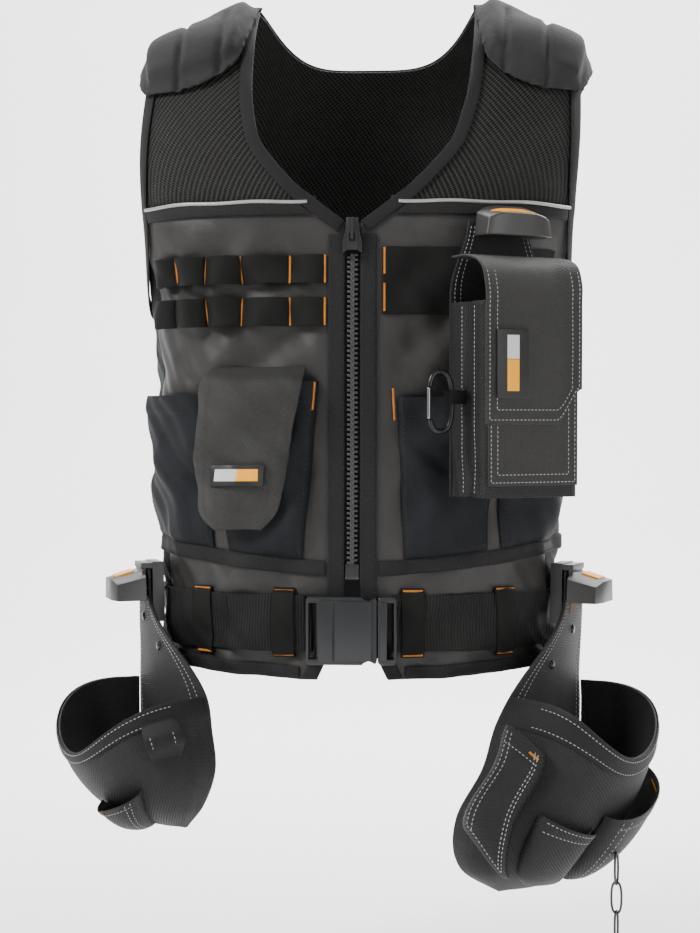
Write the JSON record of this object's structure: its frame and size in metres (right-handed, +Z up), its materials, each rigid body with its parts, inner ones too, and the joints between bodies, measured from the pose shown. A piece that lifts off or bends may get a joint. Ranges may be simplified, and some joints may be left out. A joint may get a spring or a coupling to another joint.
{
  "type": "utility work vest with belt and pouches",
  "caption": "Utility work vest with mesh yokes, padded shoulders, front zip, tool loops and pockets, buckled waist belt, clip-on chest pouch with carabiner, and hip pouches.",
  "frame": {"origin": "on the ridge of the shoulders, midway between the two straps", "axes": "+Z up, the wearer faces -Y, +X to the wearer's left"},
  "size_m": [0.5381, 0.347, 0.876],
  "materials": {
    "coated_cloth": "coated charcoal polyester with a soft sheen",
    "side_cloth": "matt bluish-black woven polyester",
    "mesh": "diagonal spacer mesh",
    "pad_cloth": "matt dark grey woven cover",
    "webbing": "ribbed woven webbing",
    "tape": "flat woven binding tape",
    "canvas": "coarse woven canvas with white double stitching",
    "moulded_plastic": "fine moulded texture",
    "label": "bare patch",
    "dark_metal": "black coating",
    "steel": "darkened"
  },
  "bodies": {
    "vest": {"front_panel_left": "coated_cloth", "front_panel_right": "coated_cloth", "back_panel": "side_cloth", "side_panel_left": "side_cloth", "side_panel_right": "side_cloth", "pocket_side_right": "side_cloth", "pocket_front_right": "side_cloth", "pocket_front_left": "side_cloth", "pocket_side_left": "side_cloth", "back_yoke": "mesh", "front_yoke_left": "mesh", "front_yoke_right": "mesh", "shoulder_pad_left": "pad_cloth", "shoulder_pad_right": "pad_cloth", "tool_loops_upper": "webbing", "tool_loops_lower": "webbing", "gear_band": "webbing", "belt_webbing": "webbing", "belt_tail": "webbing", "belt_loop_front_right": "webbing", "belt_loop_front_left": "webbing", "belt_loop_side_right": "webbing", "belt_loop_side_left": "webbing", "belt_loop_back_right": "webbing", "belt_loop_back_left": "webbing", "carabiner_tab": "webbing", "hip_right_loop": "webbing", "neck_binding": "tape", "armhole_binding_left": "tape", "armhole_binding_right": "tape", "zip_chain": "tape", "front_facing_left": "tape", "front_facing_right": "tape", "chest_tape_left": "tape", "chest_tape_right": "tape", "waist_band": "tape", "hem_binding": "tape", "pouch_flap_right": "canvas", "chest_pouch_back": "canvas", "chest_pouch_body": "canvas", "chest_pouch_flap": "canvas", "hip_left_back": "canvas", "hip_left_bag": "canvas", "hip_left_flat_pocket": "canvas", "hip_left_tool_pocket": "canvas", "hip_right_back": "canvas", "hip_right_bag": "canvas", "hip_right_holder": "canvas", "zip_slider": "moulded_plastic", "buckle_socket": "moulded_plastic", "buckle_plug": "moulded_plastic", "chest_pouch_clip": "moulded_plastic", "hip_left_clip": "moulded_plastic", "hip_right_clip": "moulded_plastic", "chest_label": "label", "tongue_label": "label", "carabiner": "dark_metal", "tape_chain": "steel"},
    "zip_pull": {"zip_pull": "moulded_plastic"},
    "carabiner_gate": {"carabiner_gate": "steel"}
  },
  "joints": [
    {"name": "zip_pull_hinge", "type": "hinge", "parent": "vest", "child": "zip_pull", "pos_m": [0, -0.13273, -0.2144], "axis": [-1, 0, 0], "range_deg": [0, 110]},
    {"name": "gate_hinge", "type": "hinge", "parent": "vest", "child": "carabiner_gate", "pos_m": [0.06766, -0.18919, -0.3751], "axis": [-0.5446, 0.8387, 0], "range_deg": [0, 20], "stiffness_Nm_per_rad": 0.02, "springref_deg": -5.73}
  ]
}
